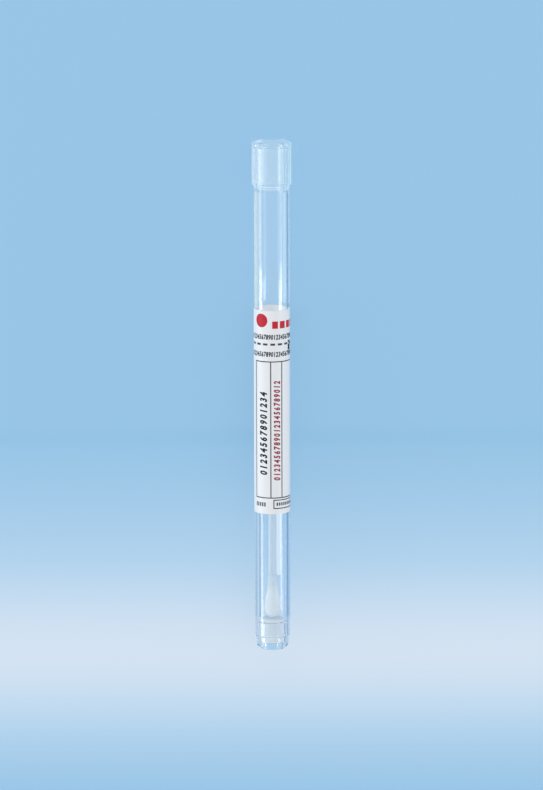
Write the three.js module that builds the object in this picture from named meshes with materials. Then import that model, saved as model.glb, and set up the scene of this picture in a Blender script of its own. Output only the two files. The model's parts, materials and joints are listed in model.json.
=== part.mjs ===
// A dry swab in a two-part clear plastic tube, lying on its side.
// Millimetres, +Z up. The tube runs along +X: the vented foot is at -X and the cap at +X.
// Every piece is turned about one axis. "Height" below is the distance along that axis from the foot's end face.

import * as THREE from "three";

// ---- driving dimensions -------------------------------------------------------------------------------------

const SIDES = 48; // sides of every turned piece; one of them faces the floor
const FIT_GAP = 0.05; // radial clearance between pieces that slide or press into each other
const FACE_GAP = 0.1; // gap between end faces that meet

const TUBE_RADIUS = 6.0; // outside of the sample tube and of the handle
const BORE_RADIUS = 5.05; // inside of both
const TUBE_FOOT = 4.5; // height of the sample tube's lower end
const JOINT_HEIGHT = 106.8; // where the sample tube ends and the handle's shoulder begins
const TUBE_EDGE = 0.2; // rounding of the tubes' edges and of most others
const LEAD_EDGE = 0.4; // larger rounding where one piece is led into another

const HANDLE_TOP = 173.7;
const WEB_THICKNESS = 1.4; // the wall that closes the handle's lower end
const SPIGOT_LENGTH = 8.0; // how far the handle plugs into the sample tube
const SPIGOT_WALL = 1.0;
const SOCKET_LENGTH = 10.0; // the boss that grips the shaft
const SOCKET_WALL = 1.0;

const CAP_RADIUS = 6.7;
const CAP_FOOT = 160.8;
const CAP_TOP = 175.4;
const CAP_EDGE = 0.3;
const MOUTH_RADIUS = 5.65; // the recess at the cap's top face
const MOUTH_DEPTH = 0.4; // short wall below the mouth
const FUNNEL_DEPTH = 0.8; // cone from the mouth down to the plug's bore
const PLUG_FOOT = 159.4;
const PLUG_BORE = 4.15;
const PLUG_FLOOR = 1.4; // thickness of the plug's closed end
const GATE_RADIUS = 0.8; // moulding gate left standing in the middle of the recess
const GATE_HEIGHT = 0.9;
const PLUG_LEAD = 0.6; // rounding of the plug's leading edge, outside and at the bottom of the recess

const SHAFT_RADIUS = 1.4;
const SHAFT_END = 13.2; // lower end, inside the fibre tip
const TIP_FOOT = 10.4;
const TIP_TOP = 25.6;
const TIP_RADIUS = 2.6; // at its widest
const TIP_WIDEST = 14.2;
const TIP_NECK = 1.6; // radius where the winding runs out on the shaft
const TIP_NECK_FOOT = 23.4; // where the taper reaches that radius
const TIP_EASE = 0.4; // how slowly the taper leaves the widest point and reaches the neck, as a share of its length
const TIP_STEPS = 8; // points along the nose, and along the taper

const FLANGE_RADIUS = 5.75; // foot plug, just below the tube
const FLANGE_WAIST = 5.3; // after its taper
const FLANGE_BEND = 0.7; // height where the taper turns into the chamfer
const FLANGE_BASE = 4.85; // radius of the flat end face
const FOOT_SPIGOT_TOP = 9.3;
const FILTER_RADIUS = 3.85;
const FILTER_FOOT = 2.4;
const FILTER_TOP = 10.2;
const VENT_RADIUS = 2.9; // the hole in the foot's floor; the rest of that floor is the ledge that holds the filter

const LABEL_THICKNESS = 0.1;
const LABEL_FOOT = 48.0;
const LABEL_TOP = 118.4;

// ---- materials ----------------------------------------------------------------------------------------------

function plastic(color, opacity, roughness) {
  return new THREE.MeshStandardMaterial({
    color,
    opacity,
    roughness,
    metalness: 0,
    transparent: opacity < 1,
  });
}

const clearPlastic = plastic("#d9ecf8", 0.35, 0.08);
const handlePlastic = plastic("#dcecf6", 0.45, 0.15);
const capPlastic = plastic("#dfeaf2", 0.6, 0.3);
const shaftPlastic = plastic("#dfe6ea", 1, 0.4);
const fibre = plastic("#eef1f2", 1, 0.95);
const porousPlastic = plastic("#f1f4f5", 1, 0.85);
const labelFilm = plastic("#f2f2f2", 1, 0.35);

// ---- turned pieces ------------------------------------------------------------------------------------------

// One corner of an outline, given as radius and height, with an optional rounding.
function corner(radius, height, rounding = 0) {
  return { at: new THREE.Vector2(radius, height), rounding };
}

// The two points where a rounding leaves and rejoins the straight edges, with the arc's middle between them.
function roundedCorner(before, here, after) {
  if (here.rounding === 0) return [here.at];
  const back = before.at.clone().sub(here.at).normalize();
  const ahead = after.at.clone().sub(here.at).normalize();
  const halfAngle = Math.acos(back.dot(ahead)) / 2;
  const setback = here.rounding / Math.tan(halfAngle);
  const inward = back.clone().add(ahead).normalize();
  const centre = here.at.clone().addScaledVector(inward, here.rounding / Math.sin(halfAngle));
  return [
    here.at.clone().addScaledVector(back, setback),
    centre.clone().addScaledVector(inward, -here.rounding),
    here.at.clone().addScaledVector(ahead, setback),
  ];
}

// Corners to points. An outline that leaves the axis must come back to it; any other is closed on itself.
function outline(corners) {
  const onAxis = corners[0].at.x === 0;
  const points = corners.flatMap((here, i) => {
    const before = corners[(i + corners.length - 1) % corners.length];
    const after = corners[(i + 1) % corners.length];
    return roundedCorner(before, here, after);
  });
  return onAxis ? points : [...points, points[0].clone()];
}

// Outlines run anticlockwise in the plane of radius (right) and height (up), which turns the faces outwards.
function turned(name, points, material) {
  const phase = Math.PI / SIDES;
  const geometry = new THREE.LatheGeometry(points, SIDES, phase);
  const mesh = new THREE.Mesh(geometry, material);
  mesh.name = name;
  return mesh;
}

// ---- the pieces ---------------------------------------------------------------------------------------------

function sampleTube() {
  return turned(
    "sample_tube",
    outline([
      corner(BORE_RADIUS, TUBE_FOOT),
      corner(TUBE_RADIUS, TUBE_FOOT, TUBE_EDGE),
      corner(TUBE_RADIUS, JOINT_HEIGHT, TUBE_EDGE),
      corner(BORE_RADIUS, JOINT_HEIGHT, TUBE_EDGE),
    ]),
    clearPlastic,
  );
}

// One moulding: the hollow grip, the web that closes it, the spigot below and the socket that holds the shaft.
function handleTube() {
  const shoulder = JOINT_HEIGHT + FACE_GAP;
  const spigotRadius = BORE_RADIUS - FIT_GAP;
  const spigotFoot = shoulder - SPIGOT_LENGTH;
  const socketFoot = shoulder - SOCKET_LENGTH;
  const socketBore = SHAFT_RADIUS + FIT_GAP;
  const webTop = shoulder + WEB_THICKNESS;
  return turned(
    "handle_tube",
    outline([
      corner(0, shoulder),
      corner(socketBore, shoulder),
      corner(socketBore, socketFoot),
      corner(socketBore + SOCKET_WALL, socketFoot, TUBE_EDGE),
      corner(socketBore + SOCKET_WALL, shoulder),
      corner(spigotRadius - SPIGOT_WALL, shoulder),
      corner(spigotRadius - SPIGOT_WALL, spigotFoot, TUBE_EDGE),
      corner(spigotRadius, spigotFoot, LEAD_EDGE),
      corner(spigotRadius, shoulder),
      corner(TUBE_RADIUS, shoulder, TUBE_EDGE),
      corner(TUBE_RADIUS, HANDLE_TOP, TUBE_EDGE),
      corner(BORE_RADIUS, HANDLE_TOP, TUBE_EDGE),
      corner(BORE_RADIUS, webTop, LEAD_EDGE),
      corner(0, webTop),
    ]),
    handlePlastic,
  );
}

// The stopper: a skirt over the handle, a closed plug inside it and an open recess with a funnel mouth.
function cap() {
  const seat = HANDLE_TOP + FACE_GAP;
  const skirtBore = TUBE_RADIUS + FIT_GAP;
  const plugRadius = BORE_RADIUS - FIT_GAP;
  const funnelTop = CAP_TOP - MOUTH_DEPTH;
  const floor = PLUG_FOOT + PLUG_FLOOR;
  return turned(
    "cap",
    outline([
      corner(0, PLUG_FOOT),
      corner(plugRadius, PLUG_FOOT, PLUG_LEAD),
      corner(plugRadius, seat),
      corner(skirtBore, seat),
      corner(skirtBore, CAP_FOOT, TUBE_EDGE),
      corner(CAP_RADIUS, CAP_FOOT, TUBE_EDGE),
      corner(CAP_RADIUS, CAP_TOP, CAP_EDGE),
      corner(MOUTH_RADIUS, CAP_TOP, TUBE_EDGE),
      corner(MOUTH_RADIUS, funnelTop),
      corner(PLUG_BORE, funnelTop - FUNNEL_DEPTH),
      corner(PLUG_BORE, floor, PLUG_LEAD),
      corner(GATE_RADIUS, floor),
      corner(GATE_RADIUS, floor + GATE_HEIGHT, TUBE_EDGE),
      corner(0, floor + GATE_HEIGHT),
    ]),
    capPlastic,
  );
}

function swabShaft() {
  const top = JOINT_HEIGHT - FIT_GAP;
  return turned(
    "swab_shaft",
    outline([
      corner(0, SHAFT_END),
      corner(SHAFT_RADIUS, SHAFT_END, TUBE_EDGE),
      corner(SHAFT_RADIUS, top, TUBE_EDGE),
      corner(0, top),
    ]),
    shaftPlastic,
  );
}

// Fibre wound on the shaft's end: a round nose, the widest point low down, a long taper and a thin neck.
function swabTip() {
  const bore = SHAFT_RADIUS + FIT_GAP;
  const ease = (TIP_NECK_FOOT - TIP_WIDEST) * TIP_EASE;
  const nose = new THREE.EllipseCurve(0, TIP_WIDEST, TIP_RADIUS, TIP_WIDEST - TIP_FOOT, -Math.PI / 2, 0);
  const taper = new THREE.CubicBezierCurve(
    new THREE.Vector2(TIP_RADIUS, TIP_WIDEST),
    new THREE.Vector2(TIP_RADIUS, TIP_WIDEST + ease),
    new THREE.Vector2(TIP_NECK, TIP_NECK_FOOT - ease),
    new THREE.Vector2(TIP_NECK, TIP_NECK_FOOT),
  );
  const points = [
    new THREE.Vector2(0, TIP_FOOT),
    ...nose.getPoints(TIP_STEPS).slice(1),
    ...taper.getPoints(TIP_STEPS).slice(1),
    new THREE.Vector2(TIP_NECK, TIP_TOP),
    new THREE.Vector2(bore, TIP_TOP),
    new THREE.Vector2(bore, SHAFT_END - FIT_GAP),
    new THREE.Vector2(0, SHAFT_END - FIT_GAP),
  ];
  return turned("swab_tip", points, fibre);
}

// A cup with a tapered flange below the tube, a spigot inside it and a vent hole through its floor.
function footPlug() {
  const flangeTop = TUBE_FOOT - FACE_GAP;
  const filterBore = FILTER_RADIUS + FIT_GAP;
  const filterSeat = FILTER_FOOT - FIT_GAP;
  return turned(
    "foot_plug",
    outline([
      corner(VENT_RADIUS, 0),
      corner(FLANGE_BASE, 0),
      corner(FLANGE_WAIST, FLANGE_BEND, TUBE_EDGE),
      corner(FLANGE_RADIUS, flangeTop, TUBE_EDGE),
      corner(BORE_RADIUS - FIT_GAP, flangeTop),
      corner(BORE_RADIUS - FIT_GAP, FOOT_SPIGOT_TOP, TUBE_EDGE),
      corner(filterBore, FOOT_SPIGOT_TOP, TUBE_EDGE),
      corner(filterBore, filterSeat),
      corner(VENT_RADIUS, filterSeat),
    ]),
    clearPlastic,
  );
}

function ventFilter() {
  return turned(
    "vent_filter",
    outline([
      corner(0, FILTER_FOOT),
      corner(FILTER_RADIUS, FILTER_FOOT, TUBE_EDGE),
      corner(FILTER_RADIUS, FILTER_TOP, TUBE_EDGE),
      corner(0, FILTER_TOP),
    ]),
    porousPlastic,
  );
}

// A stretch of the label, wrapped all the way round the tube.
function labelBand(name, foot, top) {
  const inside = TUBE_RADIUS + FIT_GAP;
  const outside = inside + LABEL_THICKNESS;
  return turned(
    name,
    outline([
      corner(inside, foot),
      corner(outside, foot),
      corner(outside, top),
      corner(inside, top),
    ]),
    labelFilm,
  );
}

// ---- lying on the floor -------------------------------------------------------------------------------------

// The cap is wider than the tube, so the axis rises a little towards it: the part rests on the edge of the cap's
// skirt and on the lower end of the sample tube. Both touch with the flat of a side, which is nearer the axis than
// its corners.
const FLAT = Math.cos(Math.PI / SIDES);
const tubeContact = TUBE_FOOT + TUBE_EDGE;
const capContact = CAP_FOOT + TUBE_EDGE;
const REST_ANGLE = Math.atan(((CAP_RADIUS - TUBE_RADIUS) * FLAT) / (capContact - tubeContact));
const AXIS_START = TUBE_RADIUS * FLAT * Math.cos(REST_ANGLE) - tubeContact * Math.sin(REST_ANGLE);

// Inside this group +X is the tube's axis; three.js turns its profiles about +Y.
const alongX = new THREE.Group();
alongX.rotation.z = -Math.PI / 2;
alongX.add(
  sampleTube(),
  footPlug(),
  ventFilter(),
  labelBand("label_panel", LABEL_FOOT, JOINT_HEIGHT - FIT_GAP),
  handleTube(),
  swabShaft(),
  swabTip(),
  labelBand("label_strip", JOINT_HEIGHT + FACE_GAP + FIT_GAP, LABEL_TOP),
  cap(),
);

const swabInTube = new THREE.Group();
swabInTube.name = "specimen_swab_tube";
swabInTube.rotation.y = -REST_ANGLE;
swabInTube.position.set((-CAP_TOP / 2) * Math.cos(REST_ANGLE), 0, AXIS_START);
swabInTube.add(alongX);

export default swabInTube;
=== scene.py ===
import json
import math
import random

import bmesh
import bpy
from mathutils import Matrix, Vector, noise

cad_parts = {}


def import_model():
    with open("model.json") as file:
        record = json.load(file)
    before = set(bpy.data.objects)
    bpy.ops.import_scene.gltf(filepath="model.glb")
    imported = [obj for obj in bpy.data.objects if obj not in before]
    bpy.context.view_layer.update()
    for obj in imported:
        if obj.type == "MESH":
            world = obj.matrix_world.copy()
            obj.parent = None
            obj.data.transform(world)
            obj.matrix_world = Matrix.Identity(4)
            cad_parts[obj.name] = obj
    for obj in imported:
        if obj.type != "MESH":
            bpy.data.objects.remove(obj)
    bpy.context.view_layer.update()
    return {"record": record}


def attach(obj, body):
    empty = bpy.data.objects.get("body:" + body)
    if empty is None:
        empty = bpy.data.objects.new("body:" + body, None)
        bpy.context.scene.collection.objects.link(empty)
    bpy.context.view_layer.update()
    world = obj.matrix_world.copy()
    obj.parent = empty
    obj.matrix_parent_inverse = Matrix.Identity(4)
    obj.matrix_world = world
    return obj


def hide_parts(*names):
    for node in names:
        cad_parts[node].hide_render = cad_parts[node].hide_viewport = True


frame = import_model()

MM = 0.001

# ---- sizes, in millimetres: radii from the axis and heights above the foot's end face ------------

TUBE_RADIUS = 6.0
BORE_RADIUS = 5.05
TUBE_FOOT = 4.5
JOINT_HEIGHT = 106.8
HANDLE_TOP = 173.7
FIT_GAP = 0.05
FACE_GAP = 0.1
EDGE = 0.1

WEB_THICKNESS = 1.4
SPIGOT_LENGTH = 8.0
SPIGOT_WALL = 1.0
SOCKET_LENGTH = 10.0
SOCKET_WALL = 1.0

CAP_RADIUS = 6.7
CAP_FOOT = 160.8
CAP_TOP = 175.4
CAP_EDGE = 0.15
MOUTH_RADIUS = 5.65
MOUTH_DEPTH = 0.4
FUNNEL_DEPTH = 0.8
PLUG_FOOT = 159.4
PLUG_BORE = 4.15
PLUG_FLOOR = 1.4
PLUG_LEAD = 0.6
GATE_RADIUS = 0.8
GATE_HEIGHT = 0.9

SHAFT_RADIUS = 1.4
SHAFT_END = 13.2
TIP_FOOT = 10.4
TIP_TOP = 25.6
TIP_RADIUS = 2.6
TIP_WIDEST = 14.2
TIP_NECK = 1.6
TIP_NECK_FOOT = 23.4

FLANGE_RADIUS = 5.75
FLANGE_WAIST = 5.3
FLANGE_BEND = 0.7
FLANGE_BASE = 4.85
FOOT_SPIGOT_TOP = 9.3
FILTER_RADIUS = 3.85
FILTER_FOOT = 2.4
FILTER_TOP = 10.2
VENT_RADIUS = 2.9

LABEL_THICKNESS = 0.1
LABEL_FOOT = 48.0
LABEL_TOP = 118.4

# ---- the tube's own directions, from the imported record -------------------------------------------

FOOT_END = frame["record"]["mounts"][0]
ALONG = -Vector(FOOT_END["axis"]).normalized()
LEFT = Vector((0.0, 1.0, 0.0))
FRONT = ALONG.cross(LEFT)
AXIS_FOOT = Vector((FOOT_END["pos_m"][0], 0.0, FOOT_END["pos_m"][2]))


def place(radius, angle, height):
    """A point near the axis, in metres. Angle 0 faces up, and positive angles turn to the camera's right."""
    out = FRONT * math.cos(angle) - LEFT * math.sin(angle)
    return AXIS_FOOT + ALONG * (height * MM) + out * (radius * MM)


# ---- colours and node helpers --------------------------------------------------------------------


def srgb(red, green, blue):
    """A colour as a screen shows it, 0 to 1, turned into the linear values that shaders use."""
    linear = [c / 12.92 if c <= 0.04045 else ((c + 0.055) / 1.055) ** 2.4 for c in (red, green, blue)]
    return tuple(linear) + (1.0,)


class Nodes:
    """A material's or world's node tree, with one short call per node and per link."""

    def __init__(self, owner):
        owner.use_nodes = True
        self.tree = owner.node_tree
        self.tree.nodes.clear()

    def add(self, kind, inputs=None, **settings):
        node = self.tree.nodes.new(kind)
        for key, value in settings.items():
            setattr(node, key, value)
        for key, value in (inputs or {}).items():
            if isinstance(value, bpy.types.NodeSocket):
                self.tree.links.new(value, node.inputs[key])
            else:
                node.inputs[key].default_value = value
        return node

    def coordinates(self, stretch=(1, 1, 1)):
        spot = self.add("ShaderNodeTexCoord").outputs["Object"]
        return self.add("ShaderNodeMapping", {"Vector": spot, "Scale": stretch}).outputs[0]

    def noise(self, stretch, detail=3.0, roughness=0.5, distortion=0.0):
        """Noise whose size is set by stretch, in cells per metre along each axis."""
        return self.add(
            "ShaderNodeTexNoise",
            {
                "Vector": self.coordinates(stretch),
                "Scale": 1.0,
                "Detail": detail,
                "Roughness": roughness,
                "Distortion": distortion,
            },
        ).outputs["Fac"]

    def bump(self, height, strength, distance):
        return self.add(
            "ShaderNodeBump", {"Height": height, "Strength": strength, "Distance": distance}
        ).outputs["Normal"]

    def between(self, value, low, high):
        """Value 0 to 1 turned into low to high."""
        return self.add(
            "ShaderNodeMapRange", {"Value": value, "To Min": low, "To Max": high}
        ).outputs["Result"]

    def blend(self, share, first, second):
        """A colour between first and second, each a plain colour or another node's output."""
        node = self.add("ShaderNodeMix", {"Factor": share}, data_type="RGBA")
        colours = [socket for socket in node.inputs if socket.type == "RGBA"]
        for socket, value in zip(colours, (first, second)):
            if isinstance(value, bpy.types.NodeSocket):
                self.tree.links.new(value, socket)
            else:
                socket.default_value = value
        return next(socket for socket in node.outputs if socket.type == "RGBA")

    def rays(self, *kinds):
        """1 for rays of any of these kinds, 0 for the rest."""
        path = self.add("ShaderNodeLightPath")
        share = path.outputs[kinds[0]]
        for kind in kinds[1:]:
            share = self.add(
                "ShaderNodeMath", {0: share, 1: path.outputs[kind]}, operation="MAXIMUM"
            ).outputs[0]
        return share

    def let_light_in(self, body, share):
        """The same surface, except that this share of the light falling on it goes on inside."""
        through = self.add("ShaderNodeBsdfTransparent").outputs[0]
        lamps = self.rays("Is Shadow Ray", "Is Diffuse Ray")
        factor = self.add("ShaderNodeMath", {0: lamps, 1: share}, operation="MULTIPLY").outputs[0]
        return self.add("ShaderNodeMixShader", {0: factor, 1: body, 2: through}).outputs[0]

    def finish(self, surface, output="ShaderNodeOutputMaterial"):
        self.add(output, {"Surface": surface})


# The share of the light falling on each white piece that goes on inside it.
FILM_LIGHT_SHARE = 0.95
FIBRE_LIGHT_SHARE = 0.6
FILTER_LIGHT_SHARE = 0.75

TRAPPED_DEPTH = 13.5  # a ray that has turned this often inside the walls goes straight out of them


def clear_plastic(name, tint, roughness, transmission, waviness, shadow_tint, ior=1.49, sheen=0.0):
    """Clear plastic: refracts what is behind it and lets the lamps through to what it holds."""
    material = bpy.data.materials.new(name)
    nodes = Nodes(material)
    flow = nodes.noise((60.0, 900.0, 900.0), detail=2.0)
    body = nodes.add(
        "ShaderNodeBsdfPrincipled",
        {
            "Base Color": tint,
            "Roughness": roughness,
            "IOR": ior,
            "Transmission Weight": transmission,
            "Sheen Weight": sheen,
            "Sheen Roughness": 0.3,
            "Normal": nodes.bump(flow, waviness, 0.00005),
        },
    ).outputs[0]
    through = nodes.add("ShaderNodeBsdfTransparent", {"Color": shadow_tint}).outputs[0]
    lamps = nodes.rays("Is Shadow Ray", "Is Diffuse Ray")
    depth = nodes.add("ShaderNodeLightPath").outputs["Ray Depth"]
    trapped = nodes.add("ShaderNodeMath", {0: depth, 1: TRAPPED_DEPTH}, operation="GREATER_THAN").outputs[0]
    share = nodes.add("ShaderNodeMath", {0: lamps, 1: trapped}, operation="MAXIMUM").outputs[0]
    nodes.finish(nodes.add("ShaderNodeMixShader", {0: share, 1: body, 2: through}).outputs[0])
    return material


def shaft_material():
    material = bpy.data.materials.new("shaft_plastic")
    nodes = Nodes(material)
    streaks = nodes.noise((120.0, 2600.0, 2600.0))
    colour = nodes.blend(streaks, srgb(0.71, 0.79, 0.86), srgb(0.79, 0.86, 0.91))
    nodes.finish(
        nodes.add(
            "ShaderNodeBsdfPrincipled",
            {
                "Base Color": colour,
                "Roughness": nodes.between(streaks, 0.28, 0.42),
                "Subsurface Weight": 0.25,
                "Subsurface Radius": (0.0012, 0.0013, 0.0015),
                "Subsurface Scale": 1.0,
                "Normal": nodes.bump(streaks, 0.25, 0.00004),
            },
        ).outputs[0]
    )
    return material


def fibre_material():
    material = bpy.data.materials.new("swab_fibre")
    nodes = Nodes(material)
    strands = nodes.noise((1500.0, 4500.0, 4500.0), detail=5.0, roughness=0.65, distortion=0.6)
    spot = nodes.add("ShaderNodeTexCoord").outputs["Object"]
    along = nodes.add("ShaderNodeSeparateXYZ", {0: spot}).outputs["X"]
    neck = nodes.add(
        "ShaderNodeMapRange",
        {
            "Value": along,
            "From Min": AXIS_FOOT.x + (TIP_NECK_FOOT - 4) * MM,
            "From Max": AXIS_FOOT.x + TIP_TOP * MM,
        },
    ).outputs["Result"]
    thick = nodes.blend(strands, srgb(0.72, 0.80, 0.86), srgb(0.98, 1.00, 1.00))
    thin = nodes.blend(strands, srgb(0.68, 0.77, 0.84), srgb(0.82, 0.90, 0.95))
    colour = nodes.blend(neck, thick, thin)
    body = nodes.add(
        "ShaderNodeBsdfPrincipled",
        {
            "Base Color": colour,
            "Roughness": 0.95,
            "Sheen Weight": 0.15,
            "Sheen Roughness": 0.5,
            "Normal": nodes.bump(strands, 0.6, 0.00006),
        },
    ).outputs[0]
    nodes.finish(nodes.let_light_in(body, FIBRE_LIGHT_SHARE))
    return material


def filter_material():
    material = bpy.data.materials.new("porous_filter")
    nodes = Nodes(material)
    pores = nodes.add(
        "ShaderNodeTexVoronoi",
        {"Vector": nodes.coordinates(), "Scale": 5200.0, "Randomness": 1.0},
    ).outputs["Distance"]
    colour = nodes.blend(pores, srgb(0.74, 0.80, 0.84), srgb(0.90, 0.93, 0.95))
    body = nodes.add(
        "ShaderNodeBsdfPrincipled",
        {
            "Base Color": colour,
            "Roughness": 0.9,
            "Normal": nodes.bump(pores, 0.7, 0.00008),
        },
    ).outputs[0]
    nodes.finish(nodes.let_light_in(body, FILTER_LIGHT_SHARE))
    return material


def film_material():
    """Printed film: white, semi-gloss, with a faint grain, and thin enough to be light inside."""
    material = bpy.data.materials.new("label_film")
    nodes = Nodes(material)
    grain = nodes.noise((5200.0, 5200.0, 5200.0), detail=4.0)
    cockle = nodes.noise((90.0, 420.0, 420.0), detail=2.0)
    colour = nodes.blend(cockle, srgb(0.880, 0.892, 0.905), srgb(0.910, 0.918, 0.927))
    body = nodes.add(
        "ShaderNodeBsdfPrincipled",
        {
            "Base Color": colour,
            "Roughness": nodes.between(grain, 0.42, 0.56),
            "Coat Weight": 0.3,
            "Coat Roughness": 0.3,
            "Normal": nodes.bump(grain, 0.15, 0.00002),
        },
    ).outputs[0]
    nodes.finish(nodes.let_light_in(body, FILM_LIGHT_SHARE))
    return material


def ink_material(name, dark, light):
    """Printing ink: nearly solid, with the small breaks of a thermal or offset print."""
    material = bpy.data.materials.new(name)
    nodes = Nodes(material)
    speckle = nodes.noise((9000.0, 9000.0, 9000.0), detail=2.0)
    nodes.finish(
        nodes.add(
            "ShaderNodeBsdfPrincipled",
            {
                "Base Color": nodes.blend(speckle, dark, light),
                "Roughness": nodes.between(speckle, 0.35, 0.55),
                "Specular IOR Level": 0.25,
                "Normal": nodes.bump(speckle, 0.1, 0.00001),
            },
        ).outputs[0]
    )
    return material


CLEAR = clear_plastic("clear_plastic", (0.99, 0.995, 1.0, 1.0), 0.0, 1.0, 0.03, (0.985, 0.993, 1.0, 1.0))
FOOT_CLEAR = clear_plastic(
    "foot_plastic", (0.95, 0.97, 0.99, 1.0), 0.01, 0.98, 0.05, (0.985, 0.993, 1.0, 1.0)
)
HANDLE_CLEAR = clear_plastic(
    "handle_plastic", (0.99, 0.995, 1.0, 1.0), 0.02, 0.97, 0.05, (0.98, 0.99, 1.0, 1.0)
)
CAP_CLEAR = clear_plastic(
    "cap_plastic", (1.0, 1.0, 1.0, 1.0), 0.10, 1.0, 0.06, (0.98, 0.99, 1.0, 1.0), ior=1.26, sheen=0.02
)
SHAFT = shaft_material()
FIBRE = fibre_material()
POROUS = filter_material()
FILM = film_material()
BLACK_INK = ink_material("black_ink", srgb(0.03, 0.03, 0.04), srgb(0.10, 0.10, 0.12))
RED_INK = ink_material("red_ink", srgb(0.70, 0.08, 0.16), srgb(0.80, 0.15, 0.23))
DARK_RED_INK = ink_material("dark_red_ink", srgb(0.52, 0.06, 0.14), srgb(0.64, 0.14, 0.22))
GREY_INK = ink_material("grey_ink", srgb(0.10, 0.10, 0.12), srgb(0.18, 0.18, 0.20))

# ---- turned pieces -------------------------------------------------------------------------------

SIDES = 160
ARC_STEP = math.radians(15)
SUPPORT = 0.03


def rounded(before, here, after):
    """The points of one corner of an outline: the corner itself, or an arc of its rounding.

    A point on each side of the arc keeps the smooth shading of the long faces flat.
    """
    radius, height, rounding = here
    at = Vector((radius, height))
    if rounding == 0:
        return [at]
    back = (Vector(before[:2]) - at).normalized()
    ahead = (Vector(after[:2]) - at).normalized()
    half_angle = math.acos(max(-1.0, min(1.0, back.dot(ahead)))) / 2
    start = at + back * (rounding / math.tan(half_angle))
    end = at + ahead * (rounding / math.tan(half_angle))
    centre = at + (back + ahead).normalized() * (rounding / math.sin(half_angle))
    turn = (start - centre).angle_signed(end - centre)
    steps = max(2, math.ceil(abs(turn) / ARC_STEP))
    arc = [centre + Matrix.Rotation(-turn * i / steps, 2) @ (start - centre) for i in range(steps + 1)]
    return [start + back * SUPPORT] + arc + [end + ahead * SUPPORT]


def outline(*corners):
    """Corners (radius, height, rounding) to points, anticlockwise with the radius to the right."""
    corners = [(c + (0.0,))[:3] for c in corners]
    points = []
    for i, here in enumerate(corners):
        points += rounded(corners[i - 1], here, corners[(i + 1) % len(corners)])
    return points


def piece(name, mesh, body, slot, material, *nodes):
    """Makes an object of the mesh with its material, hangs it on its body and hides the CAD nodes it stands
    for. slot is not used.
    """
    thing = bpy.data.objects.new(name, mesh)
    bpy.context.scene.collection.objects.link(thing)
    mesh.materials.append(material)
    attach(thing, body)
    if nodes:
        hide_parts(*nodes)
    return thing


def smooth_mesh(name, bm, sharp=30):
    bmesh.ops.recalc_face_normals(bm, faces=bm.faces)
    mesh = bpy.data.meshes.new(name)
    bm.to_mesh(mesh)
    bm.free()
    mesh.shade_smooth()
    mesh.set_sharp_from_angle(angle=math.radians(sharp))
    return mesh


def turned(name, points, sides=SIDES, shift=None):
    """Turns an outline about the axis. Points on the axis become single vertices.

    shift(radius, angle, height) may return a small change of radius.
    """
    bm = bmesh.new()
    rings = []
    for radius, height in points:
        if radius < 1e-6:
            rings.append([bm.verts.new(place(0.0, 0.0, height))])
            continue
        ring = []
        for i in range(sides):
            angle = 2 * math.pi * i / sides
            grown = radius + (shift(radius, angle, height) if shift else 0.0)
            ring.append(bm.verts.new(place(grown, angle, height)))
        rings.append(ring)
    closed = len(rings[0]) > 1
    last = len(rings) if closed else len(rings) - 1
    for k in range(last):
        one, two = rings[k], rings[(k + 1) % len(rings)]
        for i in range(sides):
            j = (i + 1) % sides
            corners = [one[i % len(one)], one[j % len(one)], two[j % len(two)], two[i % len(two)]]
            corners = list(dict.fromkeys(corners))
            if len(corners) > 2:
                bm.faces.new(corners)
    return smooth_mesh(name, bm)


def sample_tube():
    points = outline(
        (BORE_RADIUS, TUBE_FOOT, 0.08),
        (TUBE_RADIUS, TUBE_FOOT, 0.25),
        (TUBE_RADIUS, JOINT_HEIGHT, EDGE),
        (BORE_RADIUS, JOINT_HEIGHT, EDGE),
    )
    mesh = turned("sample_tube_clear", points)
    piece("sample_tube_clear", mesh, "tube", "clear_plastic", CLEAR, "sample_tube")


def handle_tube():
    shoulder = JOINT_HEIGHT + FACE_GAP
    spigot_radius = BORE_RADIUS - FIT_GAP
    spigot_foot = shoulder - SPIGOT_LENGTH
    socket_foot = shoulder - SOCKET_LENGTH
    socket_bore = SHAFT_RADIUS + FIT_GAP
    web_top = shoulder + WEB_THICKNESS
    points = outline(
        (0, shoulder),
        (socket_bore, shoulder),
        (socket_bore, socket_foot, 0.1),
        (socket_bore + SOCKET_WALL, socket_foot, EDGE),
        (socket_bore + SOCKET_WALL, shoulder, 0.3),
        (spigot_radius - SPIGOT_WALL, shoulder, 0.3),
        (spigot_radius - SPIGOT_WALL, spigot_foot, EDGE),
        (spigot_radius, spigot_foot, 4 * EDGE),
        (spigot_radius, shoulder),
        (TUBE_RADIUS, shoulder, EDGE),
        (TUBE_RADIUS, HANDLE_TOP, EDGE),
        (BORE_RADIUS, HANDLE_TOP, EDGE),
        (BORE_RADIUS, web_top, 4 * EDGE),
        (0, web_top),
    )
    mesh = turned("handle_clear", points)
    piece("handle_clear", mesh, "handle", "handle_plastic", HANDLE_CLEAR, "handle_tube")


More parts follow.
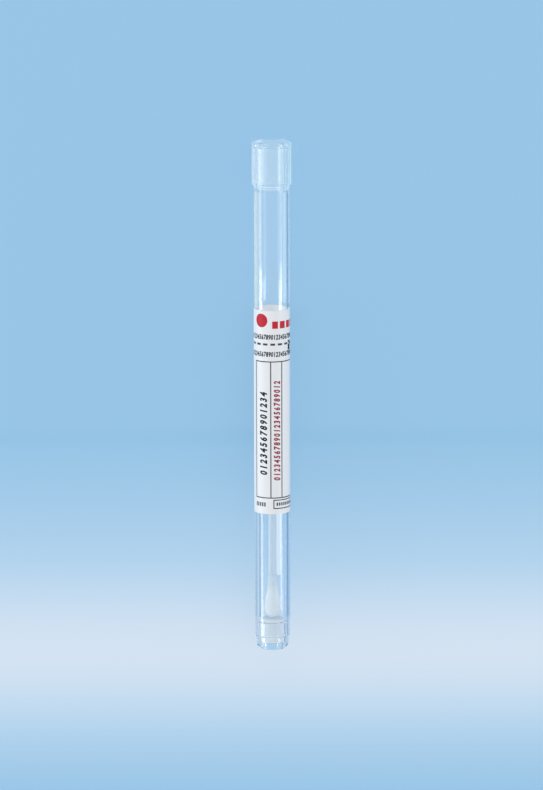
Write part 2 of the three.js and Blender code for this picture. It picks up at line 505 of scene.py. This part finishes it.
def cap():
    seat = HANDLE_TOP + FACE_GAP
    skirt_bore = TUBE_RADIUS + FIT_GAP
    plug_radius = BORE_RADIUS - FIT_GAP
    funnel_top = CAP_TOP - MOUTH_DEPTH
    floor = PLUG_FOOT + PLUG_FLOOR
    points = outline(
        (0, PLUG_FOOT),
        (plug_radius, PLUG_FOOT, PLUG_LEAD),
        (plug_radius, seat, 0.1),
        (skirt_bore, seat, 0.1),
        (skirt_bore, CAP_FOOT, EDGE),
        (CAP_RADIUS, CAP_FOOT, EDGE),
        (CAP_RADIUS, CAP_TOP, CAP_EDGE),
        (MOUTH_RADIUS, CAP_TOP, EDGE),
        (MOUTH_RADIUS, funnel_top, 0.15),
        (PLUG_BORE, funnel_top - FUNNEL_DEPTH, 0.3),
        (PLUG_BORE, floor, PLUG_LEAD),
        (GATE_RADIUS, floor, 0.15),
        (GATE_RADIUS, floor + GATE_HEIGHT, EDGE),
        (0, floor + GATE_HEIGHT),
    )
    piece("cap_clear", turned("cap_clear", points), "stopper", "cap_plastic", CAP_CLEAR, "cap")


def foot_plug():
    flange_top = TUBE_FOOT - FACE_GAP
    filter_bore = FILTER_RADIUS + FIT_GAP
    filter_seat = FILTER_FOOT - FIT_GAP
    points = outline(
        (VENT_RADIUS, 0, 0.1),
        (FLANGE_BASE, 0, 0.12),
        (FLANGE_WAIST, FLANGE_BEND, 0.4),
        (FLANGE_RADIUS, flange_top, 0.2),
        (BORE_RADIUS - FIT_GAP, flange_top),
        (BORE_RADIUS - FIT_GAP, FOOT_SPIGOT_TOP, EDGE),
        (filter_bore, FOOT_SPIGOT_TOP, EDGE),
        (filter_bore, filter_seat),
        (VENT_RADIUS, filter_seat, 0.1),
    )
    piece("foot_clear", turned("foot_clear", points), "tube", "foot_plastic", FOOT_CLEAR, "foot_plug")


def swab_shaft():
    top = JOINT_HEIGHT - FIT_GAP
    points = outline(
        (0, SHAFT_END),
        (SHAFT_RADIUS, SHAFT_END, EDGE),
        (SHAFT_RADIUS, top, EDGE),
        (0, top),
    )
    mesh = turned("shaft_rod", points, sides=64)
    piece("shaft_rod", mesh, "handle", "shaft_plastic", SHAFT, "swab_shaft")


def tip_radius(height):
    """The fibre head's outside: a round nose up to the widest point, then a long taper to the neck."""
    if height <= TIP_WIDEST:
        rise = (TIP_WIDEST - height) / (TIP_WIDEST - TIP_FOOT)
        return TIP_RADIUS * math.sqrt(max(0.0, 1 - rise * rise))
    run = min(1.0, (height - TIP_WIDEST) / (TIP_NECK_FOOT - TIP_WIDEST))
    ease = run * run * (3 - 2 * run)
    return TIP_RADIUS + (TIP_NECK - TIP_RADIUS) * ease


WINDING_PITCH = 0.55
WINDING_DEPTH = 0.035
TUFT_DEPTH = 0.07


def winding(radius, angle, height):
    """How far the wound fibre stands out from the head's plain shape."""
    if radius < SHAFT_RADIUS + FIT_GAP + 0.05:
        return 0.0
    turn = height / WINDING_PITCH * 2 * math.pi
    ridges = math.cos(turn + angle) + 0.6 * math.cos(1.7 * turn - 2 * angle)
    at = Vector((math.cos(angle) * radius, math.sin(angle) * radius, height * 0.6))
    tufts = noise.fractal(at * 1.6, 1.0, 2.0, 3)
    fade = min(1.0, radius / 1.2)
    return (WINDING_DEPTH * ridges / 1.6 + TUFT_DEPTH * tufts) * fade


TIP_ROWS = 150
NOSE_ROWS = 50
TIP_SIDES = 180


def swab_tip():
    bore = SHAFT_RADIUS + FIT_GAP
    points = [Vector((0, TIP_FOOT))]
    for i in range(1, TIP_ROWS + 1):
        nose = 1 - math.cos(min(1.0, i / NOSE_ROWS) * math.pi / 2)
        height = TIP_FOOT + nose * (TIP_WIDEST - TIP_FOOT)
        if i > NOSE_ROWS:
            height = TIP_WIDEST + (i - NOSE_ROWS) / (TIP_ROWS - NOSE_ROWS) * (TIP_TOP - TIP_WIDEST)
        points.append(Vector((tip_radius(height), height)))
    points += [
        Vector((bore, TIP_TOP)),
        Vector((bore, SHAFT_END - FIT_GAP)),
        Vector((0, SHAFT_END - FIT_GAP)),
    ]
    mesh = turned("fibre_head", points, sides=TIP_SIDES, shift=winding)
    piece("fibre_head", mesh, "handle", "swab_fibre", FIBRE, "swab_tip")


FIBRES = 620
FIBRE_RADIUS = 0.011
FIBRE_SEGMENTS = 7
FIBRE_SEED = 7


def loose_fibres():
    """Single fibres that lie across the head, each a thin three-sided thread that stands a little off it."""
    draw = random.Random(FIBRE_SEED)
    bm = bmesh.new()
    for _ in range(FIBRES):
        height = draw.uniform(TIP_FOOT + 0.5, TIP_NECK_FOOT)
        angle = draw.uniform(0, 2 * math.pi)
        turn = draw.gauss(0.55, 0.25)
        climb = draw.gauss(0.0, 0.9)
        lift = draw.uniform(0.03, 0.12)
        wave = draw.uniform(-0.12, 0.12)
        rings = []
        for k in range(FIBRE_SEGMENTS + 1):
            share = k / FIBRE_SEGMENTS
            at = min(TIP_TOP - 0.2, max(TIP_FOOT + 0.12, height + climb * share + wave * math.sin(share * 7)))
            way = angle + turn * share
            radius = tip_radius(at)
            radius += winding(radius, way, at) + lift * math.sin(math.pi * share) + FIBRE_RADIUS / 2
            ring = []
            for corner in range(3):
                spread = 2 * math.pi * corner / 3
                side = FIBRE_RADIUS * math.sin(spread)
                ring.append(bm.verts.new(place(radius + FIBRE_RADIUS * math.cos(spread), way, at + side)))
            rings.append(ring)
        for one, two in zip(rings, rings[1:]):
            for i in range(3):
                bm.faces.new((one[i - 1], one[i], two[i], two[i - 1]))
        bm.faces.new(rings[0])
        bm.faces.new(rings[-1])
    piece("loose_fibres", smooth_mesh("loose_fibres", bm, sharp=180), "handle", "swab_fibre", FIBRE)


def vent_filter():
    points = outline(
        (0, FILTER_FOOT),
        (FILTER_RADIUS, FILTER_FOOT, EDGE),
        (FILTER_RADIUS, FILTER_TOP, EDGE),
        (0, FILTER_TOP),
    )
    piece("filter_body", turned("filter_body", points), "tube", "porous_filter", POROUS, "vent_filter")


# ---- the label -----------------------------------------------------------------------------------

LABEL_INSIDE = TUBE_RADIUS + FIT_GAP
LABEL_OUTSIDE = LABEL_INSIDE + LABEL_THICKNESS
FILM_THICKNESS = 0.09
FILM_COLUMNS = 192
FILM_ROWS = 12
OVERLAP_START = math.radians(138)
OVERLAP_COLUMNS = 14
OVERLAP_RAMP = 5
TEAR_HEIGHT = JOINT_HEIGHT + FACE_GAP / 2
TIE_PERIOD = 8
TIE_COLUMNS = 2
SLIT_HALF = 0.014
TIE_HALF = 0.005
CORNER_LIFT = 0.06


def film_radius(column):
    """The film's inner face. Its last columns climb onto its first ones."""
    climb = (column - FILM_COLUMNS + OVERLAP_RAMP) / OVERLAP_RAMP
    climb = max(0.0, min(1.0, climb))
    return LABEL_OUTSIDE - FILM_THICKNESS + (FILM_THICKNESS + 0.01) * climb * climb * (3 - 2 * climb)


def tear_edge(column, side):
    """Height of a torn edge's point: nearer to the tear line at a tie than at a slit."""
    tie = column % TIE_PERIOD < TIE_COLUMNS
    return TEAR_HEIGHT + side * (TIE_HALF if tie else SLIT_HALF)


def label_film(name, foot, top, body, node):
    """One part of the label: a film wrapped once round with its end lapped over its start.

    foot and top are functions of the column, because the torn edge isn't straight.
    """
    bm = bmesh.new()
    last = FILM_COLUMNS + OVERLAP_COLUMNS
    rows = FILM_ROWS
    inner, outer = [], []
    for column in range(last + 1):
        angle = OVERLAP_START + 2 * math.pi * column / FILM_COLUMNS
        radius = film_radius(column)
        low, high = foot(column), top(column)
        skins = [[], []]
        for row in range(rows + 1):
            share = row / rows
            height = low + (high - low) * share
            corner = max(0.0, (column - last + 3) / 3) * max(0.0, abs(2 * share - 1) * 6 - 5)
            for skin, thickness in zip(skins, (0.0, FILM_THICKNESS)):
                skin.append(bm.verts.new(place(radius + thickness + CORNER_LIFT * corner, angle, height)))
        inner.append(skins[0])
        outer.append(skins[1])
    for column in range(last):
        for row in range(rows):
            for skin in (inner, outer):
                one, two = skin[column], skin[column + 1]
                bm.faces.new((one[row], two[row], two[row + 1], one[row + 1]))
        for row in (0, rows):
            here, following = column, column + 1
            bm.faces.new((inner[here][row], inner[following][row], outer[following][row], outer[here][row]))
    for column in (0, last):
        for row in range(rows):
            one, two = inner[column], outer[column]
            bm.faces.new((one[row], two[row], two[row + 1], one[row + 1]))
    piece(name, smooth_mesh(name, bm), body, "label_film", FILM, node)


# ---- print on the label --------------------------------------------------------------------------

INK_LIFT = 0.012
INK_SINK = 0.03
INK_STEP = 0.4
INK_LEVELS = (LABEL_OUTSIDE - INK_SINK, LABEL_OUTSIDE + INK_LIFT)
DISC_SIDES = 40


class Ink:
    """Thin closed patches bent round the label. Across is the arc from its front line, in millimetres."""

    def __init__(self):
        self.bm = bmesh.new()

    def spots(self, across, height):
        """The patch's lower and upper point at one place."""
        return [self.bm.verts.new(place(radius, across / LABEL_OUTSIDE, height)) for radius in INK_LEVELS]

    def block(self, left, right, foot, top):
        """A plain rectangle."""
        columns = max(1, math.ceil((right - left) / INK_STEP))
        rings = []
        for i in range(columns + 1):
            across = left + (right - left) * i / columns
            low, high = self.spots(across, foot), self.spots(across, top)
            rings.append([low[0], low[1], high[1], high[0]])
        for one, two in zip(rings, rings[1:]):
            for k in range(4):
                self.bm.faces.new((one[k], one[k - 1], two[k - 1], two[k]))
        self.bm.faces.new(rings[0])
        self.bm.faces.new(rings[-1])

    def ring(self, outside, inside):
        """What lies between two loops with the same number of points."""
        outer = [self.spots(*point) for point in outside]
        inner = [self.spots(*point) for point in inside]
        for i in range(len(outer)):
            a, b, c, d = outer[i - 1], outer[i], inner[i], inner[i - 1]
            self.bm.faces.new((a[1], b[1], c[1], d[1]))
            self.bm.faces.new((a[0], b[0], c[0], d[0]))
            self.bm.faces.new((a[0], b[0], b[1], a[1]))
            self.bm.faces.new((d[0], c[0], c[1], d[1]))

    def frame(self, left, right, foot, top, stroke, rounding):
        """An open box with rounded corners."""
        counts = (math.ceil((right - left) / INK_STEP), math.ceil((top - foot) / INK_STEP))
        outside = box_loop(left, right, foot, top, rounding, counts)
        inner_rounding = max(0.02, rounding - stroke)
        inside = box_loop(left + stroke, right - stroke, foot + stroke, top - stroke, inner_rounding, counts)
        self.ring(outside, inside)

    def disc(self, across, height, radius):
        """A plain disc of rings round a middle point, so that it bends with the label."""
        loops = []
        for share in (1.0, 0.8, 0.6, 0.4, 0.2):
            turns = [2 * math.pi * i / DISC_SIDES for i in range(DISC_SIDES)]
            reach = radius * share
            edge = [(across + reach * math.cos(t), height + reach * math.sin(t)) for t in turns]
            loops.append([self.spots(*point) for point in edge])
        middle = self.spots(across, height)
        for level in (0, 1):
            for one, two in zip(loops, loops[1:]):
                for i in range(DISC_SIDES):
                    self.bm.faces.new((one[i - 1][level], one[i][level], two[i][level], two[i - 1][level]))
            for i in range(DISC_SIDES):
                self.bm.faces.new((loops[-1][i - 1][level], loops[-1][i][level], middle[level]))
        for i in range(DISC_SIDES):
            a, b = loops[0][i - 1], loops[0][i]
            self.bm.faces.new((a[0], b[0], b[1], a[1]))

    def stamp(self, character, spot):
        """One plain numeral. Its point x, y goes to the arc and the height that spot(x, y) gives."""
        points, faces = numeral(character)
        made = []
        for x, y, z in points:
            radius = INK_LEVELS[1] if z > 0 else INK_LEVELS[0]
            across, height = spot(x, y)
            made.append(self.bm.verts.new(place(radius, across / LABEL_OUTSIDE, height)))
        for face in faces:
            self.bm.faces.new([made[i] for i in face])

    def number_row(self, count, pitch, height, tall, width):
        """Plain numerals 0 to 9 in even steps round the front, with their feet at height."""
        for k in range(count):
            middle = (k - count // 2) * pitch
            self.stamp(str(k % 10), lambda x, y: (middle + x * width, height + y * tall))

    def number_line(self, count, start, pitch, base, tall, width):
        """Plain numerals 0 to 9 in even steps, lying on their side in a line that runs up the tube."""
        for k in range(count):
            middle = start + k * pitch
            self.stamp(str(k % 10), lambda x, y: (base - y * tall, middle + x * width))

    def block_row(self, count, start, pitch, width, foot, top):
        """Equal plain blocks side by side."""
        for k in range(count):
            self.block(start + k * pitch, start + k * pitch + width, foot, top)

    def make(self, name, body, material):
        piece(name, smooth_mesh(name, self.bm, sharp=40), body, "label_film", material)


def box_loop(left, right, foot, top, rounding, counts):
    """Points round a box with rounded corners, with the same number of points for the same counts."""
    columns, rows = counts
    corners = [
        (right, foot, -90, rows),
        (right, top, 0, columns),
        (left, top, 90, rows),
        (left, foot, 180, columns),
    ]
    points = []
    for k, (across, height, turn, count) in enumerate(corners):
        centre_across = across + (rounding if across == left else -rounding)
        centre_height = height + (rounding if height == foot else -rounding)
        for step in range(4):
            angle = math.radians(turn + 30 * step)
            sideways, upward = rounding * math.cos(angle), rounding * math.sin(angle)
            points.append((centre_across + sideways, centre_height + upward))
        following = corners[(k + 1) % 4]
        next_across = following[0] + (rounding if following[0] == left else -rounding)
        next_height = following[1] + (rounding if following[1] == foot else -rounding)
        turned_by = math.radians(following[2])
        target = (next_across + rounding * math.cos(turned_by), next_height + rounding * math.sin(turned_by))
        here = points[-1]
        for i in range(1, count):
            share = i / count
            points.append((here[0] + (target[0] - here[0]) * share, here[1] + (target[1] - here[1]) * share))
    return points


NUMERALS = {}
COLUMN_STEP = 0.12
ROW_STEP = 0.09


def numeral(character):
    """A numeral's closed shape, one unit high, cut into small cells so that it bends round the label."""
    if character in NUMERALS:
        return NUMERALS[character]
    text = bpy.data.curves.new("numeral", "FONT")
    text.body = character
    text.align_x = "CENTER"
    text.resolution_u = 3
    text.extrude = 0.1
    text.offset = 0.045
    text.shear = 0.15
    thing = bpy.data.objects.new("numeral", text)
    bpy.context.scene.collection.objects.link(thing)
    bpy.context.view_layer.update()
    mesh = bpy.data.meshes.new_from_object(thing)
    bpy.data.objects.remove(thing)
    bpy.data.curves.remove(text)
    bm = bmesh.new()
    bm.from_mesh(mesh)
    bpy.data.meshes.remove(mesh)
    bmesh.ops.remove_doubles(bm, verts=bm.verts, dist=1e-5)
    cuts = [((i * COLUMN_STEP, 0, 0), (1, 0, 0)) for i in range(-3, 4)]
    cuts += [((0, i * ROW_STEP, 0), (0, 1, 0)) for i in range(1, 8)]
    for point, normal in cuts:
        everything = list(bm.verts) + list(bm.edges) + list(bm.faces)
        bmesh.ops.bisect_plane(bm, geom=everything, plane_co=point, plane_no=normal, dist=1e-6)
    bmesh.ops.triangulate(bm, faces=bm.faces)
    bm.verts.index_update()
    tall = max(v.co.y for v in bm.verts)
    points = [(v.co.x, v.co.y / tall, v.co.z) for v in bm.verts]
    NUMERALS[character] = (points, [[v.index for v in face.verts] for face in bm.faces])
    bm.free()
    return NUMERALS[character]


def across(degrees):
    return math.radians(degrees) * LABEL_OUTSIDE


FRAME_TOP = 100.7
FRAME_FOOT = 53.8
RULE = 0.34
RULE_ANGLES = (-60.0, -5.6, 31.1)
FRAME_RIGHT = 80.0
ROW_COUNT = 21
UPPER_ROW_FOOT = 108.6
LOWER_ROW_FOOT = 102.7
NUMERAL_TALL = 1.65
NUMERAL_PITCH = 0.86
NUMERAL_WIDTH = 1.5
DASH_LENGTH = 1.6
DASH_PITCH = 2.58
DASH_START = 0.27
DASH_HALF = 0.34
DASH_CLEAR = 0.004
TICK_CLEAR = 0.02
SMALL_BLOCK_PITCH = 0.85
SMALL_BLOCK_WIDTH = 0.5
TICK_ANGLE = 68.0
TICK_HALF = 0.75
TICK_FOOT = 104.5
TICK_TOP = 107.8


def dashes(ink, foot, top):
    """One side of the dashed tear line, between these two heights."""
    for i in range(-4, 4):
        middle = DASH_START + i * DASH_PITCH
        ink.block(middle - DASH_LENGTH / 2, middle + DASH_LENGTH / 2, foot, top)


def print_on_strip():
    edge = TEAR_HEIGHT + SLIT_HALF + DASH_CLEAR
    black = Ink()
    black.number_row(ROW_COUNT, NUMERAL_PITCH, UPPER_ROW_FOOT, NUMERAL_TALL, NUMERAL_WIDTH)
    dashes(black, edge, TEAR_HEIGHT + DASH_HALF)
    tick = across(TICK_ANGLE)
    black.block(tick - TICK_HALF, tick + TICK_HALF, TEAR_HEIGHT + DASH_HALF + TICK_CLEAR, TICK_TOP)
    black.make("print_strip_black", "handle", BLACK_INK)
    red = Ink()
    red.disc(across(-36.0), 115.0, 2.35)
    red.block_row(6, across(1.0), 2.7, 2.0, 112.3, 114.8)
    red.make("print_strip_red", "handle", RED_INK)


def print_on_panel():
    edge = TEAR_HEIGHT - SLIT_HALF - DASH_CLEAR
    black = Ink()
    black.number_row(ROW_COUNT, NUMERAL_PITCH, LOWER_ROW_FOOT, NUMERAL_TALL, NUMERAL_WIDTH)
    dashes(black, TEAR_HEIGHT - DASH_HALF, edge)
    tick = across(TICK_ANGLE)
    black.block(tick - TICK_HALF, tick + TICK_HALF, TICK_FOOT, TEAR_HEIGHT - DASH_HALF - TICK_CLEAR)
    black.number_line(15, 62.2, 1.95, across(-17.5), 2.6, 2.7)
    black.frame(across(3.8), across(3.8) + 12.0, 49.8, 53.0, 0.32, 0.05)
    black.block_row(11, across(14.0), SMALL_BLOCK_PITCH, SMALL_BLOCK_WIDTH, 50.9, 52.0)
    black.block_row(5, across(-58.0), SMALL_BLOCK_PITCH, SMALL_BLOCK_WIDTH, 50.6, 52.0)
    black.make("print_panel_black", "tube", BLACK_INK)
    red = Ink()
    red.number_line(23, 60.2, 1.52, across(25.5), 2.15, 2.1)
    red.make("print_panel_red", "tube", DARK_RED_INK)
    grey = Ink()
    grey.block(across(RULE_ANGLES[0]), across(FRAME_RIGHT), FRAME_TOP, FRAME_TOP + RULE)
    grey.block(across(RULE_ANGLES[0]), across(FRAME_RIGHT), FRAME_FOOT - RULE, FRAME_FOOT)
    for angle in RULE_ANGLES:
        grey.block(across(angle), across(angle) + RULE, FRAME_FOOT + 0.01, FRAME_TOP - 0.01)
    grey.make("print_panel_rules", "tube", GREY_INK)


# ---- floor, lights and camera --------------------------------------------------------------------

BACKDROP_BLUE = srgb(0.600, 0.776, 0.906)
BACKDROP_MIDDLE = srgb(0.718, 0.838, 0.937)
BACKDROP_PALE = srgb(0.830, 0.892, 0.953)
BACKDROP_START = -0.150
BACKDROP_END = -0.010
BACKDROP_STOPS = ((0.235, BACKDROP_MIDDLE), (0.42, BACKDROP_PALE), (0.63, BACKDROP_MIDDLE))
GLOW_SHARE = 0.5
FLOOR_SIZE = 16.0
FLOOR_DROP = 0.02


def floor_material():
    """Pale blue paper, lightest beside the foot. Half of what camera and glass see is its own light."""
    material = bpy.data.materials.new("backdrop_paper")
    nodes = Nodes(material)
    spot = nodes.add("ShaderNodeTexCoord").outputs["Object"]
    along = nodes.add("ShaderNodeSeparateXYZ", {0: spot}).outputs["X"]
    share = nodes.add(
        "ShaderNodeMapRange", {"Value": along, "From Min": BACKDROP_START, "From Max": BACKDROP_END}
    ).outputs["Result"]
    ramp = nodes.add("ShaderNodeValToRGB", {0: share})
    ramp.color_ramp.interpolation = "CARDINAL"
    ends = ramp.color_ramp.elements
    ends[0].position = 0.05
    ends[0].color = BACKDROP_BLUE
    ends[1].position = 0.94
    ends[1].color = BACKDROP_BLUE
    for position, colour in BACKDROP_STOPS:
        ends.new(position).color = colour
    paper = nodes.add("ShaderNodeBsdfDiffuse", {"Color": ramp.outputs[0]}).outputs[0]
    glow = nodes.add("ShaderNodeEmission", {"Color": ramp.outputs[0]}).outputs[0]
    seen = nodes.rays("Is Camera Ray", "Is Glossy Ray", "Is Transmission Ray")
    half = nodes.add("ShaderNodeMath", {0: seen, 1: GLOW_SHARE}, operation="MULTIPLY").outputs[0]
    nodes.finish(nodes.add("ShaderNodeMixShader", {0: half, 1: paper, 2: glow}).outputs[0])
    return material


def stage_sheet(name, corners, height, material):
    """A flat four-cornered sheet that isn't part of the object."""
    bm = bmesh.new()
    bm.faces.new([bm.verts.new((x, y, height)) for x, y in corners])
    mesh = bpy.data.meshes.new(name)
    bm.to_mesh(mesh)
    bm.free()
    mesh.materials.append(material)
    thing = bpy.data.objects.new(name, mesh)
    bpy.context.scene.collection.objects.link(thing)
    return thing


def floor():
    half = FLOOR_SIZE / 2
    corners = [(-half, -half), (half, -half), (half, half), (-half, half)]
    stage_sheet("floor", corners, -FLOOR_DROP * MM, floor_material())


WORLD_LIGHT = (0.83, 0.83, 0.83, 1.0)
SKY_TOP = srgb(0.64, 0.79, 0.93)
SKY_EDGE = srgb(0.80, 0.91, 0.98)


def world():
    """An even white dome that lights the object. Gloss and clear plastic see the backdrop's blue instead."""
    made = bpy.data.worlds.new("studio")
    bpy.context.scene.world = made
    nodes = Nodes(made)
    dome = nodes.add("ShaderNodeBackground", {"Color": WORLD_LIGHT}).outputs[0]
    way = nodes.add("ShaderNodeTexCoord").outputs["Generated"]
    rise = nodes.add("ShaderNodeSeparateXYZ", {0: way}).outputs["Z"]
    backdrop = nodes.add("ShaderNodeBackground", {"Color": nodes.blend(rise, SKY_EDGE, SKY_TOP)}).outputs[0]
    seen = nodes.rays("Is Camera Ray", "Is Glossy Ray", "Is Transmission Ray")
    mixed = nodes.add("ShaderNodeMixShader", {0: seen, 1: dome, 2: backdrop}).outputs[0]
    nodes.finish(mixed, "ShaderNodeOutputWorld")


def area_lamp(name, middle, out, across, width, length, brightness):
    """A flat lamp at middle that shines against the direction out, with its width lying along across."""
    data = bpy.data.lights.new(name, "AREA")
    data.shape = "RECTANGLE"
    data.size = width
    data.size_y = length
    data.energy = brightness * math.pi * width * length
    lamp = bpy.data.objects.new(name, data)
    bpy.context.scene.collection.objects.link(lamp)
    turn = Matrix((across, out.cross(across), out)).transposed()
    lamp.matrix_world = Matrix.Translation(middle) @ turn.to_4x4()
    return lamp


def softbox(name, lean, distance, width, foot, top, brightness):
    """A soft lamp above and beside the tube, from foot to top along X.

    Lean is its angle from straight up, to the camera's right when positive.
    """
    angle = math.radians(lean)
    out = Vector((0.0, -math.sin(angle), math.cos(angle)))
    across = Vector((0.0, math.cos(angle), math.sin(angle)))
    middle = Vector(((foot + top) / 2, 0.0, 0.01)) + out * distance
    return area_lamp(name, middle, out, across, width, top - foot, brightness)


END_LEAN = 14.0
END_DISTANCE = 1.5
END_WIDTH = 1.6
END_HEIGHT = 0.6
END_BRIGHTNESS = 1.0


def end_softbox():
    """A low soft lamp beyond the cap, which shows in the edges that face that way."""
    lean = math.radians(END_LEAN)
    out = Vector((math.cos(lean), 0.0, math.sin(lean)))
    area_lamp("end_softbox", out * END_DISTANCE, out, LEFT, END_WIDTH, END_HEIGHT, END_BRIGHTNESS)


FILL_LEAN = 78.0
FILL_DISTANCE = 1.0
FILL_WIDTH = 0.6
FILL_REACH = 0.6
FILL_BRIGHTNESS = 0.55


def side_fills():
    """A low lamp on each side that evens out the label. Gloss and clear plastic don't show these two."""
    for side, name in ((-1, "left_fill"), (1, "right_fill")):
        lean = side * FILL_LEAN
        lamp = softbox(name, lean, FILL_DISTANCE, FILL_WIDTH, -FILL_REACH, FILL_REACH, FILL_BRIGHTNESS)
        lamp.visible_glossy = False
        lamp.visible_transmission = False


# Each side's strip is in three lengths, which the cap, the upper tube and the lower tube reflect.
# name, lean, distance, width, foot, top and brightness
SOFTBOXES = (
    ("left_softbox_cap", -84.0, 1.2, 0.28, -0.175, 0.7, 2.6),
    ("left_softbox_tube", -80.5, 1.2, 0.36, -0.25, -0.175, 7.6),
    ("left_softbox_foot", -77.0, 1.2, 0.28, -0.7, -0.25, 4.0),
    ("right_softbox_cap", 55.0, 1.7, 0.66, -0.28, 0.7, 0.8),
    ("right_softbox_tube", 60.0, 1.7, 0.66, -0.36, -0.28, 5.0),
    ("right_softbox_foot", 48.0, 1.7, 1.15, -0.415, -0.37, 0.65),
)


CARD_HEIGHT = 0.0001


def card(name, near, far, foot, top, colour):
    """A glowing card beside the tube, seen only by gloss and clear plastic: painted light, dark for painted
    shade and pale for painted highlights, which the tube's edges reflect and refract.
    """
    material = bpy.data.materials.new(name)
    nodes = Nodes(material)
    nodes.finish(nodes.add("ShaderNodeEmission", {"Color": colour}).outputs[0])
    corners = [(foot, near), (top, near), (top, far), (foot, far)]
    corners = [(AXIS_FOOT.x + height * MM, side * MM) for height, side in corners]
    sheet = stage_sheet(name, corners, CARD_HEIGHT, material)
    sheet.visible_camera = False
    sheet.visible_diffuse = False
    sheet.visible_shadow = False


# Painted light for the plastic's edges: the dark cards are painted shade, the pale ones painted highlights
# and painted reflections.
# name, near and far side (left of the tube is positive), foot and top along the tube, and colour
PAINTED_LIGHT_CARDS = (
    ("right_dark_card_lower", -11.2, -17.0, 9.0, 60.0, (0.14, 0.28, 0.48)),
    ("right_gap_card_lower", -8.9, -11.1, 9.0, 50.0, (0.42, 0.63, 0.84)),
    ("right_line_card_lower", -6.9, -8.8, 9.0, 50.0, (0.22, 0.39, 0.62)),
    ("right_side_card_lower", -4.9, -6.8, 9.0, 50.0, (0.35, 0.58, 0.86)),
    ("right_glow_card_lower", -1.0, -3.6, 24.0, 47.5, (0.70, 0.83, 0.97)),
    ("right_dark_card_foot", -11.2, -20.0, -4.0, 8.9, (0.24, 0.38, 0.58)),
    ("right_side_card_foot", -4.9, -9.5, -4.0, 8.9, (0.44, 0.61, 0.79)),
    ("right_dark_card_upper", -9.3, -13.0, 61.0, 157.0, (0.13, 0.26, 0.45)),
    ("right_side_card_upper", -4.9, -9.2, 119.0, 157.0, (0.47, 0.72, 0.94)),
    ("right_card_cap", -11.4, -20.0, 158.0, 175.0, (0.42, 0.63, 0.82)),
    ("right_rim_card_cap", -8.0, -11.3, 157.5, 175.0, (0.55, 0.84, 1.00)),
    ("left_dark_card_lower", 11.6, 20.0, 9.0, 60.0, (0.42, 0.62, 0.82)),
    ("left_edge_card_lower", 8.6, 11.5, 9.0, 60.0, (0.29, 0.44, 0.63)),
    ("left_gap_card_lower", 6.9, 8.5, 9.0, 47.5, (0.62, 0.83, 0.98)),
    ("left_line_card_lower", 5.0, 6.8, 9.0, 47.5, (0.28, 0.42, 0.59)),
    ("left_edge_card_foot", 8.6, 20.0, -4.0, 8.9, (0.46, 0.61, 0.79)),
    ("left_line_card_foot", 4.6, 6.8, -4.0, 8.9, (0.52, 0.66, 0.80)),
    ("left_rim_card_upper", 7.25, 17.0, 60.5, 157.0, (0.57, 0.76, 0.88)),
    ("left_side_card_upper", 5.0, 7.2, 119.0, 157.0, (0.46, 0.61, 0.73)),
    ("middle_card_cap", -7.9, 3.4, 157.5, 175.0, (0.40, 0.62, 0.81)),
    ("left_card_cap", 3.5, 20.0, 158.0, 175.0, (0.56, 0.75, 0.92)),
    ("foot_card", -4.4, 4.4, -3.0, 1.5, (0.38, 0.61, 0.80)),
)

BOUNCES = 32

CAMERA_LEAN = 11.7
CAMERA_DISTANCE = 1.8
CAMERA_ROLL = -0.135
AIM_HEIGHT = 88.2
AIM_SIDE = -0.17
FRAME_HEIGHT = 790
SCALE_AT_AIM = 2.94


def camera():
    data = bpy.data.cameras.new("camera")
    data.sensor_width = 36.0
    data.lens = SCALE_AT_AIM * CAMERA_DISTANCE / MM * data.sensor_width / FRAME_HEIGHT
    data.clip_start = 0.1
    data.clip_end = 20.0
    eye = bpy.data.objects.new("camera", data)
    bpy.context.scene.collection.objects.link(eye)
    lean = math.radians(CAMERA_LEAN)
    back = FRONT * math.cos(lean) + ALONG * math.sin(lean)
    up = ALONG * math.cos(lean) - FRONT * math.sin(lean)
    right = up.cross(back)
    turn = Matrix((right, up, back)).transposed() @ Matrix.Rotation(math.radians(CAMERA_ROLL), 3, "Z")
    aim = place(0.0, 0.0, AIM_HEIGHT) + right * (AIM_SIDE * MM)
    eye.matrix_world = Matrix.Translation(aim + back * CAMERA_DISTANCE) @ turn.to_4x4()
    bpy.context.scene.camera = eye


# ---- putting it together -------------------------------------------------------------------------

camera()
floor()
world()
for lamp in SOFTBOXES:
    softbox(*lamp)
end_softbox()
side_fills()
for name, near, far, foot, top, colour in PAINTED_LIGHT_CARDS:
    card(name, near, far, foot, top, colour + (1.0,))
bpy.context.scene.view_settings.view_transform = "Standard"
cycles = bpy.context.scene.cycles
cycles.max_bounces = BOUNCES
cycles.glossy_bounces = BOUNCES
cycles.transmission_bounces = BOUNCES
cycles.transparent_max_bounces = BOUNCES

sample_tube()
foot_plug()
vent_filter()
handle_tube()
swab_shaft()
swab_tip()
loose_fibres()
cap()
label_film("label_panel_film", lambda c: LABEL_FOOT, lambda c: tear_edge(c, -1), "tube", "label_panel")
label_film("label_strip_film", lambda c: tear_edge(c, 1), lambda c: LABEL_TOP, "handle", "label_strip")
print_on_strip()
print_on_panel()
